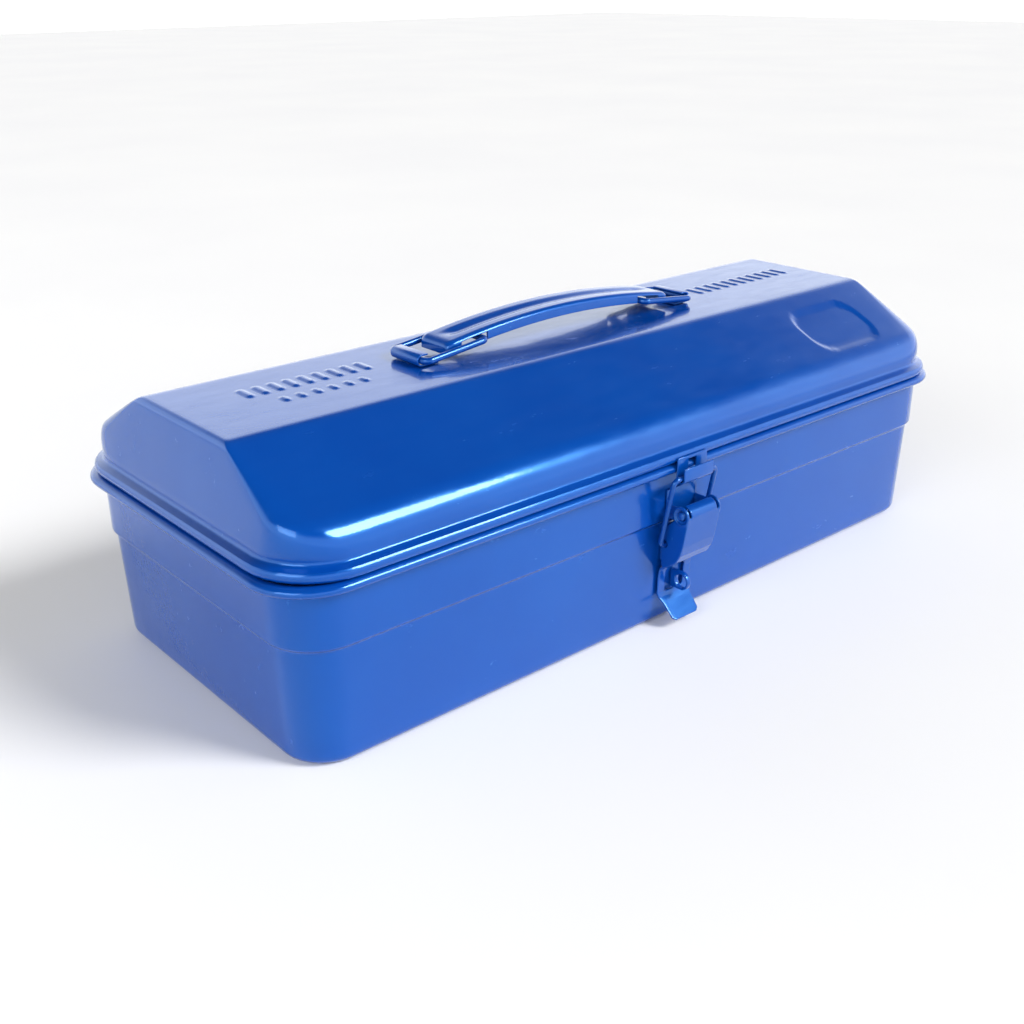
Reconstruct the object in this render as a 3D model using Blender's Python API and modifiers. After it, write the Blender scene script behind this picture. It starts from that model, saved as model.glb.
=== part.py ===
"""Pressed-steel tool box with a camber-top lid, drop handle, draw latch and lift-out tray.

World frame, metres: +X runs along the length of the box, -Y is the front with the
latch, +Z is up.  The origin is on the underside of the body, at its middle.
Every dimension below is in millimetres until it is multiplied by MM.
"""
import math

import bmesh
import bpy
from mathutils import Matrix, Vector

MM = 0.001
SHEET = 0.7                     # thickness of the body and lid sheet
GAP = 0.3                       # clearance between touching pieces
CORNER_STEPS = 6                # facets round each plan corner of a pressing

# Body pressing: half length, half width and plan corner radius at each height
FOOT_A, FOOT_B, FOOT_R = 179.7, 75.4, 17.5
FOOT_FILLET = 4.0
WALL_A, WALL_B, WALL_R = 181.2, 76.9, 19.0
STEP_LOW, STEP_HIGH, STEP_OUT = 46.4, 48.9, 1.7
SEAM_Z = 73.9                   # plane where lid and body meet
HEM_END, HEM_SIDE = 2.35, 2.05  # half width inside the rolled rim, at the ends and sides
HEM_TALL = 1.35                 # half height inside the rolled rim

# Lid pressing
LID_TOP = 111.5
LID_TOP_A, LID_TOP_B = 177.6, 32.6
LID_WALL_A, LID_WALL_B, LID_WALL_R = 182.5, 79.2, 24.0
LID_WALL_Z = 82.0
SLOPE = math.radians(25.2)      # fall of the lid's front and back slopes
FOLD_R = 11.0                   # fold between the top plate and a slope
SHOULDER_R = 14.0               # bend between a slope and the front wall
END_R = 2.4                     # bend at the ends of the top plate
TOP_CORNER_R, CORNER_GROWTH = 1.5, 1.15   # plan corner at the top, and how it opens
FLARE_TOP = 80.6                # where the wall starts to flare out to the rim
LID_HEM_R = 2.5                 # outside radius of the lid's rolled rim
LID_HEM_OUT = 4.2               # how far the lid's rim stands out of its wall

# Rear hinges
HINGE_X, HINGE_Y, HINGE_Z = 112.0, 86.7, SEAM_Z
HINGE_HALF = 15.0
HINGE_LID_PLATE = (91.0, 89.0, 87.0, 85.0)   # heights where the lid's leaf is welded
HINGE_BODY_PLATE = (54.0, 64.0, 67.2)        # foot, bend and crank of the body's leaf
HINGE_PIN_PROUD = 0.8                        # pin past each end of the knuckles
PIN_R, CURL_R, LEAF = 1.3, 1.6, 0.8

# Draw latch, in the middle of the front
PIVOT_Y, PIVOT_Z = -88.3, 53.4  # pin that the lever turns on
LINK_Y, LINK_Z = -80.2, 38.5    # where the wire link turns in the lever
BAR_Y, BAR_Z = -86.3, 68.8      # top bar of the link, in the keeper
LEVER_HALF, LEVER_T = 9.8, 0.8
LEVER_TOP_HALF = 7.6            # the rolled top edge passes between the ears
LEVER_PIN_R = 1.8
LEVER_TOP_R, LEVER_BOSS_R = 4.1, 3.9
LEVER_FACE = ((-92.3, 52.9), (-91.3, 47.0), (-90.1, 40.0), (-88.8, 35.6), (-86.8, 32.0),
              (-83.8, 29.6))
LEVER_TONGUE = ((-79.8, 27.2), (-78.4, 25.8), (-77.8, 23.0), (-77.5, 14.6))
LEVER_TAB = ((-78.2, 12.6), (-80.0, 10.5), (-85.0, 5.2), (-85.9, 4.3))
LEVER_TAB_HALVES = (9.2, 8.4, 7.8, 6.2)      # half widths, narrowing to the finger tip
LEVER_FLANGE = ((-92.0, 52.9), (-91.0, 47.0), (-89.8, 40.1), (-88.5, 35.8), (-86.6, 32.4),
                (-83.7, 30.0), (-79.8, 27.8), (-78.6, 28.6), (-78.4, 42.0), (-81.4, 47.6))
EAR_X, EAR_T, EAR_R = 8.0, 0.7, 2.9
EAR_ROOT = (49.8, 56.2)         # foot and top of each ear where it leaves the plate
BASE_PLATE = (30.0, 45.8, 48.8, 62.0)        # base plate's foot, crank and top
BAIL_X, BAIL_R = 12.4, 1.1
KEEPER_HALF, KEEPER_T = 8.6, 0.8
KEEPER_TOP, KEEPER_BEND, KEEPER_LIP = 76.8, 72.0, 73.2
KEEPER_SLOT_HALF, KEEPER_SLOT_LOW, KEEPER_SLOT_HIGH = 2.4, 71.4, 75.4
SLOT_HALF, SLOT_LOW, SLOT_HIGH = 5.6, 14.3, 25.4
STAPLE_Z, STAPLE_R, STAPLE_OUT = 19.2, 4.1, 5.8
STAPLE_HALF_T, EYE_R = 1.1, 3.05

# Handle: grip, two wire rings and their brackets
GRIP_TOP, GRIP_RISE, GRIP_RISE_AT = 124.3, 5.7, 65.0
GRIP_HALF_X, GRIP_HALF_Y, GRIP_DEEP, GRIP_T = 64.5, 9.7, 4.8, 0.9
NOTCH_IN, NOTCH_OUT, NOTCH_LEFT = 43.8, 57.5, 1.5
RING_X, RING_Z = 77.0, 114.25
RING_LONG, RING_Y, RING_R = 31.0, 11.8, 1.4
RING_TILT = math.radians(6.4)
BRACKET_HALF, BRACKET_T = 9.0, 0.7

# Lift-out tray, standing on the body's pressed step
TRAY_A, TRAY_B, TRAY_R = 181.2, 76.9, 22.0
TRAY_BASE, TRAY_TOP, TRAY_FILLET = 47.7, 69.0, 1.0
DIVIDER_TOP, DIVIDER_GRIP_TOP, DIVIDER_HALF_T = 64.4, 82.4, 0.5
DIVIDER_SHOULDER, DIVIDER_GRIP_R = 60.0, 8.0
HAND_HOLE_HALF, HAND_HOLE_R, HAND_HOLE_Z = 28.0, 7.5, 69.4

BLUE = (0.010, 0.075, 0.42)
DEEP_BLUE = (0.008, 0.060, 0.36)


# ---------------------------------------------------------------- scene helpers

def clear_scene():
    for obj in list(bpy.data.objects):
        bpy.data.objects.remove(obj, do_unlink=True)


def new_collection(name):
    collection = bpy.data.collections.new(name)
    bpy.context.scene.collection.children.link(collection)
    return collection


def enamel(name, colour, roughness=0.18):
    material = bpy.data.materials.new(name)
    material.use_nodes = True
    shader = material.node_tree.nodes["Principled BSDF"]
    shader.inputs["Base Color"].default_value = (*colour, 1.0)
    shader.inputs["Roughness"].default_value = roughness
    shader.inputs["Metallic"].default_value = 0.25
    return material


def add_object(name, mesh, material, smooth=True):
    obj = bpy.data.objects.new(name, mesh)
    PARTS.objects.link(obj)
    mesh.materials.clear()
    mesh.materials.append(material)
    if smooth:
        mesh.shade_smooth()
        mesh.set_sharp_from_angle(angle=math.radians(32))
    return obj


def add_cutter(name, mesh):
    obj = bpy.data.objects.new(name, mesh)
    CUTTERS.objects.link(obj)
    obj.hide_render = True
    obj.display_type = "WIRE"
    return obj


def combine(obj, other, operation):
    modifier = obj.modifiers.new(other.name, "BOOLEAN")
    modifier.operation = operation
    modifier.solver = "EXACT"
    modifier.object = other


def thicken(obj, thickness, offset=-1.0):
    modifier = obj.modifiers.new("sheet", "SOLIDIFY")
    modifier.thickness = thickness * MM
    modifier.offset = offset
    modifier.use_even_offset = True


def drive_from_axis(obj, name, origin):
    """Parent a piece to an empty that stands on its joint's axis, keeping its place."""
    empty = bpy.data.objects.get(name)
    if empty is None:
        empty = bpy.data.objects.new(name, None)
        empty.location = Vector(origin) * MM
        PARTS.objects.link(empty)
    obj.parent = empty
    obj.matrix_parent_inverse = Matrix.Translation(-empty.location)


# ---------------------------------------------------------------- mesh helpers

def mesh_from_rings(name, rings, closed=True, cap_first=False, cap_last=False):
    """A skin through rings of points, given in millimetres."""
    mesh = bpy.data.meshes.new(name)
    build = bmesh.new()
    rows = [[build.verts.new(Vector(point) * MM) for point in ring] for ring in rings]
    count = len(rows[0])
    for low, high in zip(rows, rows[1:]):
        for i in range(count if closed else count - 1):
            j = (i + 1) % count
            build.faces.new((low[i], low[j], high[j], high[i]))
    if cap_first:
        build.faces.new(list(reversed(rows[0])))
    if cap_last:
        build.faces.new(rows[-1])
    build.to_mesh(mesh)
    build.free()
    return mesh


def rounded_ring(half_x, half_y, radius, z):
    """A rounded rectangle seen from above, anticlockwise from the +X side."""
    points = []
    for quarter, (sx, sy) in enumerate(((1, 1), (-1, 1), (-1, -1), (1, -1))):
        for step in range(CORNER_STEPS + 1):
            angle = math.pi / 2 * (quarter + step / CORNER_STEPS)
            points.append((sx * (half_x - radius) + radius * math.cos(angle),
                           sy * (half_y - radius) + radius * math.sin(angle), z))
    return points


def arc(centre, radius, start, end, steps):
    """Points (u, v) on an arc, angles in degrees."""
    angles = [math.radians(start + (end - start) * k / steps) for k in range(steps + 1)]
    return [(centre[0] + radius * math.cos(a), centre[1] + radius * math.sin(a))
            for a in angles]


def strip(name, path, half_widths, thickness, material, centre_x=0.0, offset=-1.0):
    """Folded sheet: a path of (y, z) points swept across X, then thickened."""
    if not isinstance(half_widths, (list, tuple)):
        half_widths = [half_widths] * len(path)
    rings = [[(centre_x - half, y, z), (centre_x + half, y, z)]
             for (y, z), half in zip(path, half_widths)]
    mesh = mesh_from_rings(name, rings, closed=False)
    obj = add_object(name, mesh, material)
    thicken(obj, thickness, offset)
    return obj


def box_mesh(name, low, high):
    mesh = bpy.data.meshes.new(name)
    build = bmesh.new()
    size = [(h - l) * MM for l, h in zip(low, high)]
    middle = [(h + l) / 2 * MM for l, h in zip(low, high)]
    placing = Matrix.Translation(middle) @ Matrix.Diagonal((*size, 1.0))
    bmesh.ops.create_cube(build, size=1.0, matrix=placing)
    build.to_mesh(mesh)
    build.free()
    return mesh


def rod_mesh(name, radius, start_x, end_x, y, z, sides=20):
    mesh = bpy.data.meshes.new(name)
    build = bmesh.new()
    placing = (Matrix.Translation(Vector(((start_x + end_x) / 2, y, z)) * MM)
               @ Matrix.Rotation(math.pi / 2, 4, "Y"))
    bmesh.ops.create_cone(build, cap_ends=True, segments=sides, radius1=radius * MM,
                          radius2=radius * MM, depth=(end_x - start_x) * MM, matrix=placing)
    build.to_mesh(mesh)
    build.free()
    return mesh


def plate_mesh(name, outline, start_x, end_x):
    """A flat plate across X, from an outline of (y, z) points."""
    rings = [[(x, y, z) for y, z in outline] for x in (start_x, end_x)]
    mesh = mesh_from_rings(name, rings, cap_first=True, cap_last=True)
    build = bmesh.new()
    build.from_mesh(mesh)
    bmesh.ops.recalc_face_normals(build, faces=build.faces)
    build.to_mesh(mesh)
    build.free()
    return mesh


def wire(name, points, radius, material, cyclic=False):
    """A round wire through points given in millimetres."""
    curve = bpy.data.curves.new(name, "CURVE")
    curve.dimensions = "3D"
    curve.bevel_depth = radius * MM
    curve.bevel_resolution = 2
    curve.use_fill_caps = not cyclic
    spline = curve.splines.new("POLY")
    spline.points.add(len(points) - 1)
    for target, point in zip(spline.points, points):
        target.co = (*(Vector(point) * MM), 1.0)
    spline.use_cyclic_u = cyclic
    spline.use_smooth = True
    curve.materials.append(material)
    obj = bpy.data.objects.new(name, curve)
    PARTS.objects.link(obj)
    return obj


def rounded_path(corners, radius, steps=4, cyclic=False):
    """Round the corners of a path of 3-D points."""
    points = []
    count = len(corners)
    for i, corner in enumerate(corners):
        here = Vector(corner)
        if not cyclic and i in (0, count - 1):
            points.append(here)
            continue
        before = (Vector(corners[i - 1]) - here).normalized()
        after = (Vector(corners[(i + 1) % count]) - here).normalized()
        half = before.angle(after) / 2
        reach = radius / math.tan(half)
        centre = here + (before + after).normalized() * radius / math.sin(half)
        start, end = here + before * reach, here + after * reach
        for k in range(steps + 1):
            mix = start.lerp(end, k / steps) - centre
            points.append(centre + mix.normalized() * radius)
    return points


# ---------------------------------------------------------------- body

def body_section(z):
    """Half length, half width and corner radius of the body's outside at height z."""
    rise = min(z, STEP_LOW) / STEP_LOW
    a = FOOT_A + (WALL_A - FOOT_A) * rise
    b = FOOT_B + (WALL_B - FOOT_B) * rise
    r = FOOT_R + (WALL_R - FOOT_R) * rise
    if z > STEP_LOW:
        blend = min((z - STEP_LOW) / (STEP_HIGH - STEP_LOW), 1.0)
        out = STEP_OUT * (3 - 2 * blend) * blend ** 2
        return a + out, b + out, r + out
    return a, b, r


def make_body():
    rings = []
    for y, z in arc((0.0, FOOT_FILLET), FOOT_FILLET, -90, 0, 4):
        a, b, r = body_section(z)
        inset = FOOT_FILLET - y
        rings.append(rounded_ring(a - inset, b - inset, r - inset / 2, z))
    for z in (24.0, STEP_LOW, 47.3, 48.1, STEP_HIGH):
        rings.append(rounded_ring(*body_section(z), z))
    hem_z = SEAM_Z - GAP / 2 - SHEET - HEM_TALL
    a, b, r = body_section(hem_z)
    for u, v in arc((0.0, 0.0), 1.0, 180, -60, 9):
        end, side = HEM_END * (1 + u), HEM_SIDE * (1 + u)
        rings.append(rounded_ring(a + end, b + side, r + side, hem_z + HEM_TALL * v))
    mesh = mesh_from_rings("body_shell", rings, cap_first=True)
    shell = add_object("body_shell", mesh, PAINT)
    thicken(shell, SHEET)
    return shell


# ---------------------------------------------------------------- lid

def lid_section(z):
    """Half length, half width and corner radius of the lid's outside at height z."""
    drop = LID_TOP - z
    fold_drop = FOLD_R * (1 - math.cos(SLOPE))
    fold_start = LID_TOP_B - FOLD_R * math.tan(SLOPE / 2)
    if drop < fold_drop:
        b = fold_start + math.sqrt(max(FOLD_R ** 2 - (FOLD_R - drop) ** 2, 0.0))
    else:
        b = LID_TOP_B + drop / math.tan(SLOPE)
    corner_z = LID_TOP - (LID_WALL_B - LID_TOP_B) * math.tan(SLOPE)
    reach = SHOULDER_R * math.tan((math.pi / 2 - SLOPE) / 2)
    arc_low, arc_high = corner_z - reach, corner_z + reach * math.sin(SLOPE)
    if arc_low < z < arc_high:
        b = LID_WALL_B - SHOULDER_R + math.sqrt(SHOULDER_R ** 2 - (z - arc_low) ** 2)
    elif z <= arc_low:
        b = LID_WALL_B
    lean = (LID_WALL_A - LID_TOP_A) / (LID_TOP - LID_WALL_Z)
    a = LID_TOP_A + lean * min(drop, LID_TOP - LID_WALL_Z)
    if drop < END_R:
        a += math.sqrt(END_R ** 2 - (END_R - drop) ** 2) - END_R
    grow = min(drop / (LID_TOP - arc_low), 1.0)
    r = TOP_CORNER_R + (LID_WALL_R - TOP_CORNER_R) * grow ** CORNER_GROWTH
    return a, b, r


def make_lid():
    rings = []
    for drop in (0.0, 0.15, 0.55, 1.2, 2.4, 5.5, 9.5, 14.0, 18.0, 20.2, 22.2, 24.2,
                 26.2, 28.4, 30.6):
        rings.append(rounded_ring(*lid_section(LID_TOP - drop), LID_TOP - drop))
    hem_z = SEAM_Z + GAP / 2 + LID_HEM_R
    a, b, r = lid_section(hem_z)
    flare = LID_HEM_OUT - LID_HEM_R
    for y, z in arc((flare, FLARE_TOP), flare, 180, 258, 3)[1:]:
        rings.append(rounded_ring(a + y, b + y, r + y, z))
    for y, z in arc((flare, hem_z), LID_HEM_R, 62, -170, 9)[1:]:
        rings.append(rounded_ring(a + y, b + y, r + y, z))
    rings.reverse()
    mesh = mesh_from_rings("lid_shell", rings, cap_last=True)
    shell = add_object("lid_shell", mesh, PAINT)
    thicken(shell, SHEET)
    return shell


# ---------------------------------------------------------------- rear hinges

def hinge_leaf(name, centre_x, upper):
    """One leaf of a hinge: welded plate, crank over the rim, rolled knuckles."""
    outer = CURL_R + LEAF
    inner_y = HINGE_Y - outer
    sign = 1 if upper else -1
    if upper:
        plate = [(lid_section(z)[1] + GAP, z) for z in HINGE_LID_PLATE]
        plate.append((inner_y, FLARE_TOP))
    else:
        wall_y = body_section(STEP_HIGH)[1] + GAP
        foot_z, bend_z, crank_z = HINGE_BODY_PLATE
        plate = [(wall_y, foot_z), (wall_y, bend_z), (inner_y, crank_z)]
    curl = arc((HINGE_Y, HINGE_Z), outer, 180, 180 + sign * 290, 12)
    path = plate + curl
    obj = strip(name, path, HINGE_HALF, LEAF, PAINT, centre_x,
                offset=1.0 if upper else -1.0)
    third = HINGE_HALF / 3
    if upper:
        spans = [(-HINGE_HALF - 1, -third), (third, HINGE_HALF + 1)]
    else:
        spans = [(-third - GAP, third + GAP)]
    for k, (start, end) in enumerate(spans):
        low_z = HINGE_Z - outer - 1.0
        high_z = HINGE_Z + outer + 1.0
        cutter = add_cutter(f"{name}_gap_{k}", box_mesh(
            f"{name}_gap_{k}", (centre_x + start, inner_y - 0.5, low_z),
            (centre_x + end, HINGE_Y + outer + 1.0, high_z)))
        combine(obj, cutter, "DIFFERENCE")
    return obj


def make_hinges():
    for side, centre_x in (("left", -HINGE_X), ("right", HINGE_X)):
        hinge_leaf(f"hinge_leaf_body_{side}", centre_x, upper=False)
        lid_leaf = hinge_leaf(f"hinge_leaf_lid_{side}", centre_x, upper=True)
        drive_from_axis(lid_leaf, "lid_axis", LID_AXIS)
        reach = HINGE_HALF + HINGE_PIN_PROUD
        pin = rod_mesh(f"hinge_pin_{side}", PIN_R, centre_x - reach, centre_x + reach,
                       HINGE_Y, HINGE_Z, 16)
        add_object(f"hinge_pin_{side}", pin, STEEL)


# ---------------------------------------------------------------- latch

def make_latch_base():
    """Base plate following the step in the wall, with an ear each side of the pin."""
    wall_low, wall_high = -body_section(40.0)[1] - GAP, -body_section(60.0)[1] - GAP
    path = list(zip((wall_low, wall_low, wall_high, wall_high), BASE_PLATE))
    base = strip("latch_base_plate", path, EAR_X + EAR_T, LEVER_T, PAINT, offset=1.0)
    for sign in (-1, 1):
        x_in, x_out = sign * EAR_X, sign * (EAR_X + EAR_T)
        tip = arc((PIVOT_Y, PIVOT_Z), EAR_R, 90, 270, 10)
        root_y = wall_high - LEVER_T / 2
        outline = [(root_y, z) for z in EAR_ROOT] + tip
        ear = add_cutter(f"ear_{sign}", plate_mesh(f"ear_{sign}", outline, x_in, x_out))
        combine(base, ear, "UNION")
    hole = rod_mesh("ear_holes", LEVER_PIN_R + GAP, -20, 20, PIVOT_Y, PIVOT_Z)
    combine(base, add_cutter("ear_holes", hole), "DIFFERENCE")
    pin = rod_mesh("latch_pivot_pin", LEVER_PIN_R, -LEVER_HALF, LEVER_HALF,
                   PIVOT_Y, PIVOT_Z)
    add_object("latch_pivot_pin", pin, STEEL)
    return base


def make_staple():
    """Padlock staple: a lug that stands out through the slot in the lever."""
    wall = -body_section(STAPLE_Z)[1] - GAP
    tip_y = wall - STAPLE_OUT
    tip = arc((tip_y, STAPLE_Z), STAPLE_R, 90, 270, 10)
    outline = [(wall, STAPLE_Z - STAPLE_R), (wall, STAPLE_Z + STAPLE_R)] + tip
    mesh = plate_mesh("padlock_staple", outline, -STAPLE_HALF_T, STAPLE_HALF_T)
    staple = add_object("padlock_staple", mesh, PAINT)
    hole = rod_mesh("staple_hole", EYE_R, -5, 5, tip_y, STAPLE_Z, 16)
    combine(staple, add_cutter("staple_hole", hole), "DIFFERENCE")
    return staple


def make_lever():
    """Latch lever: rolled top edge, face, return, slotted tongue and finger tab."""
    top_edge = arc((PIVOT_Y, PIVOT_Z), LEVER_TOP_R, 90, 180, 5)
    path = [*top_edge, *LEVER_FACE, *LEVER_TONGUE, *LEVER_TAB]
    halves = [LEVER_TOP_HALF] * len(top_edge)
    halves += [LEVER_HALF] * (len(LEVER_FACE) + len(LEVER_TONGUE))
    halves += LEVER_TAB_HALVES
    lever = strip("latch_lever", path, halves, LEVER_T, PAINT, offset=1.0)
    flange = [*LEVER_FLANGE, *arc((PIVOT_Y, PIVOT_Z), LEVER_BOSS_R, -40, 170, 12)]
    for sign in (-1, 1):
        x_in, x_out = sign * (LEVER_HALF - LEVER_T), sign * LEVER_HALF
        name = f"lever_flange_{sign}"
        combine(lever, add_cutter(name, plate_mesh(name, flange, x_in, x_out)), "UNION")
    for name, radius, y, z in (("link_holes", BAIL_R + GAP, LINK_Y, LINK_Z),
                               ("pin_holes", LEVER_PIN_R + GAP, PIVOT_Y, PIVOT_Z)):
        hole = rod_mesh(name, radius, -20, 20, y, z, 16)
        combine(lever, add_cutter(name, hole), "DIFFERENCE")
    slot = box_mesh("tongue_slot", (-SLOT_HALF, -80.0, SLOT_LOW), (SLOT_HALF, -74.0, SLOT_HIGH))
    combine(lever, add_cutter("tongue_slot", slot), "DIFFERENCE")
    drive_from_axis(lever, "lever_axis", (0.0, PIVOT_Y, PIVOT_Z))
    return lever


def make_bail():
    """Wire link from the lever up to the keeper; its top bar is open in the middle."""
    inner_end = KEEPER_HALF + 0.6
    route = [(inner_end, BAR_Y, BAR_Z), (BAIL_X, BAR_Y, BAR_Z), (BAIL_X, LINK_Y, LINK_Z),
             (LEVER_HALF - 2.0, LINK_Y, LINK_Z)]
    mirrored = [(-x, y, z) for x, y, z in route]
    halves = []
    for side, points in (("right", route), ("left", mirrored)):
        name = f"wire_bail_{side}"
        halves.append(wire(name, rounded_path(points, 2.4), BAIL_R, STEEL_BLUE))
        drive_from_axis(halves[-1], "bail_axis", (0.0, LINK_Y, LINK_Z))
    return halves


def make_keeper():
    """Keeper: plate welded to the lid's rim, turned up at its foot into a J."""
    inner_y = -(LID_WALL_B + LID_HEM_OUT + GAP)
    mid_y = inner_y - KEEPER_T
    lip_y = BAR_Y - BAIL_R - 0.2 - KEEPER_T
    valley = (mid_y + lip_y + KEEPER_T) / 2
    inner_r = abs(mid_y - (lip_y + KEEPER_T)) / 2
    foot = arc((valley, BAR_Z - 0.1), inner_r + KEEPER_T, 0, -180, 10)
    path = [(inner_y, KEEPER_TOP), (inner_y, KEEPER_BEND)] + foot + [(lip_y, KEEPER_LIP)]
    keeper = strip("keeper_hook", path, KEEPER_HALF, KEEPER_T, PAINT, offset=-1.0)
    slot = box_mesh("keeper_slot",
                    (-KEEPER_SLOT_HALF, mid_y - 0.6, KEEPER_SLOT_LOW),
                    (KEEPER_SLOT_HALF, inner_y + 0.6, KEEPER_SLOT_HIGH))
    combine(keeper, add_cutter("keeper_slot", slot), "DIFFERENCE")
    drive_from_axis(keeper, "lid_axis", LID_AXIS)
    return keeper


# ---------------------------------------------------------------- handle

def grip_top(x):
    return GRIP_TOP - GRIP_RISE * (x / GRIP_RISE_AT) ** 2


def grip_ring(x, half_y, top, bottom, round_off):
    upper = [(half_y, top - round_off), (half_y - 0.45 * round_off, top - 0.35 * round_off),
             (half_y - 1.4 * round_off, top)]
    left = [(-y, z) for y, z in reversed(upper)]
    return [(x, y, z) for y, z in [(half_y, bottom)] + upper + left + [(-half_y, bottom)]]


def make_grip():
    """Grip: an arched channel, open below, with notches for the wire rings."""
    xs = [GRIP_HALF_X * k / 12 for k in range(-11, 12)]
    nose = ((GRIP_HALF_X, 1.6, 1.9), (GRIP_HALF_X - 0.7, 0.6, 0.8),
            (GRIP_HALF_X - 2.1, 0.0, 0.0))
    stations = [(-x, inset, fall) for x, inset, fall in nose]
    stations += [(x, 0.0, 0.0) for x in xs]
    stations += [(x, inset, fall) for x, inset, fall in reversed(nose)]
    outer, inner = [], []
    for x, inset, fall in stations:
        top = grip_top(x) - fall
        half = GRIP_HALF_Y - inset
        outer.append(grip_ring(x, half, top, grip_top(x) - GRIP_DEEP, 1.1))
        short = x * (GRIP_HALF_X - GRIP_T) / GRIP_HALF_X
        inner.append(grip_ring(short, half - GRIP_T, top - GRIP_T,
                               grip_top(x) - GRIP_DEEP - 4, 0.7))
    grip = add_object("handle_grip", mesh_from_rings(
        "handle_grip", outer, cap_first=True, cap_last=True), PAINT)
    hollow = add_cutter("grip_hollow", mesh_from_rings(
        "grip_hollow", inner, cap_first=True, cap_last=True))
    for obj in (grip, hollow):
        fix_normals(obj.data)
    combine(grip, hollow, "DIFFERENCE")
    for side, sign in (("left", -1), ("right", 1)):
        xs = [NOTCH_IN + (NOTCH_OUT - NOTCH_IN) * k / 3 for k in range(4)]
        rings = [[(sign * x, -20, 100), (sign * x, 20, 100),
                  (sign * x, 20, grip_top(x) - NOTCH_LEFT),
                  (sign * x, -20, grip_top(x) - NOTCH_LEFT)] for x in xs]
        name = f"grip_notch_{side}"
        notch = mesh_from_rings(name, rings, cap_first=True, cap_last=True)
        fix_normals(notch)
        combine(grip, add_cutter(name, notch), "DIFFERENCE")
    drive_from_axis(grip, "grip_slide", (0.0, 0.0, GRIP_TOP))
    return grip


def fix_normals(mesh):
    build = bmesh.new()
    build.from_mesh(mesh)
    bmesh.ops.recalc_face_normals(build, faces=build.faces)
    build.to_mesh(mesh)
    build.free()


def make_ring(side, sign):
    """Wire ring: its outer bar turns in the bracket, its inner bar slides in the grip."""
    reach_x = RING_LONG * math.cos(RING_TILT)
    reach_z = RING_LONG * math.sin(RING_TILT)
    outer_x, inner_x = sign * RING_X, sign * (RING_X - reach_x)
    corners = [(outer_x, -RING_Y, RING_Z), (outer_x, RING_Y, RING_Z),
               (inner_x, RING_Y, RING_Z + reach_z), (inner_x, -RING_Y, RING_Z + reach_z)]
    points = rounded_path(corners, 2.6, cyclic=True)
    ring = wire(f"handle_ring_{side}", points, RING_R, STEEL_BLUE, cyclic=True)
    drive_from_axis(ring, f"ring_axis_{side}", (outer_x, 0.0, RING_Z))
    return ring


def make_bracket(side, sign):
    """Bracket: a strap welded to the lid and folded over the ring's outer bar."""
    fold_r = RING_R + 0.35 + BRACKET_T
    fold = arc((RING_X, RING_Z), fold_r, -90, 90, 10)
    path = [(RING_X - 8.0, RING_Z - fold_r)] + fold + [(RING_X - 3.0, RING_Z + fold_r)]
    rings = [[(sign * x, -BRACKET_HALF, z), (sign * x, BRACKET_HALF, z)] for x, z in path]
    name = f"handle_bracket_{side}"
    bracket = add_object(name, mesh_from_rings(name, rings, closed=False), PAINT)
    thicken(bracket, BRACKET_T, offset=-float(sign))
    drive_from_axis(bracket, "lid_axis", LID_AXIS)
    return bracket


# ---------------------------------------------------------------- tray

def make_tray():
    rings = []
    for y, z in arc((0.0, TRAY_FILLET), TRAY_FILLET, -90, 0, 3):
        inset = TRAY_FILLET - y
        rings.append(rounded_ring(TRAY_A - inset, TRAY_B - inset, TRAY_R - inset / 2,
                                  TRAY_BASE + z))
    rings.append(rounded_ring(TRAY_A, TRAY_B, TRAY_R, TRAY_TOP))
    tray = add_object("tray_pan", mesh_from_rings("tray_pan", rings, cap_first=True), PAINT)
    thicken(tray, SHEET)
    drive_from_axis(tray, "tray_slide", (0.0, 0.0, TRAY_BASE))


def make_divider():
    """Lengthways divider with a raised hand hole in the middle."""
    end_x = TRAY_A - SHEET - GAP
    base = TRAY_BASE + SHEET + GAP
    grip = [(-x, z) for x, z in arc((DIVIDER_SHOULDER - 18.0, DIVIDER_GRIP_TOP - DIVIDER_GRIP_R),
                                    DIVIDER_GRIP_R, 0, 90, 4)]
    outline = [(-end_x, base), (-end_x, DIVIDER_TOP), (-DIVIDER_SHOULDER, DIVIDER_TOP)] + grip
    outline += [(-x, z) for x, z in reversed(outline)]
    rings = [[(x, y, z) for x, z in outline] for y in (-DIVIDER_HALF_T, DIVIDER_HALF_T)]
    mesh = mesh_from_rings("tray_divider", rings, cap_first=True, cap_last=True)
    fix_normals(mesh)
    divider = add_object("tray_divider", mesh, PAINT)
    hole = arc((HAND_HOLE_HALF, HAND_HOLE_Z), HAND_HOLE_R, -90, 90, 8)
    hole += [(-x, z) for x, z in reversed(hole)]
    rings = [[(x, y, z) for x, z in hole] for y in (-3.0, 3.0)]
    cutter = mesh_from_rings("hand_hole", rings, cap_first=True, cap_last=True)
    fix_normals(cutter)
    combine(divider, add_cutter("hand_hole", cutter), "DIFFERENCE")
    drive_from_axis(divider, "tray_slide", (0.0, 0.0, TRAY_BASE))


# ---------------------------------------------------------------- build

clear_scene()
PARTS = new_collection("tool_box")
CUTTERS = new_collection("cutters")
PAINT = enamel("blue_enamel", BLUE)
STEEL_BLUE = enamel("blue_enamel_on_wire", DEEP_BLUE, 0.22)
STEEL = enamel("painted_pin", DEEP_BLUE, 0.30)
LID_AXIS = (0.0, HINGE_Y, HINGE_Z)

make_body()
drive_from_axis(make_lid(), "lid_axis", LID_AXIS)
make_hinges()
make_latch_base()
make_staple()
make_lever()
make_bail()
make_keeper()
make_grip()
for SIDE, SIGN in (("left", -1), ("right", 1)):
    make_ring(SIDE, SIGN)
    make_bracket(SIDE, SIGN)
make_tray()
make_divider()
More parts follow.
